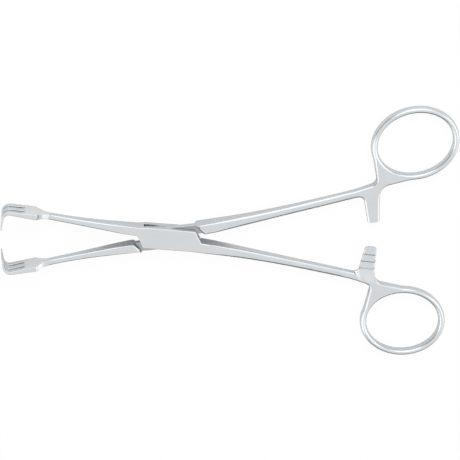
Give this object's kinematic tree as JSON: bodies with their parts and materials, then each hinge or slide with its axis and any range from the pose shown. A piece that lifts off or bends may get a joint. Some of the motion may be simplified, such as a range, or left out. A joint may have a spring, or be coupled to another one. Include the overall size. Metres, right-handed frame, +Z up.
{
  "type": "traction forceps",
  "caption": "Ring-handled surgical traction forceps with a box lock, ratchet arms and hooked prongs that cross at right angles to the jaws.",
  "frame": {"origin": "centre of the bounding box, on the surface that the instrument lies on", "axes": "+X along the instrument toward the finger rings, +Z up, out of the flat of the instrument"},
  "size_m": [0.1522, 0.0934, 0.0089],
  "materials": {
    "box_half_steel": "satin ground stainless steel with polished edges",
    "tongue_half_steel": "satin ground stainless steel with polished edges",
    "pivot_pin_steel": "ground flush with the box lock"
  },
  "bodies": {
    "box_side": {"box_half": "box_half_steel", "pivot_pin": "pivot_pin_steel"},
    "tongue_side": {"tongue_half": "tongue_half_steel"}
  },
  "joints": [
    {"name": "box_lock_pivot", "type": "hinge", "parent": "box_side", "child": "tongue_side", "pos_m": [-0.01995, 0, 0.00349], "axis": [0.0194, 0, 0.9998], "range_deg": [-15, 30]}
  ]
}
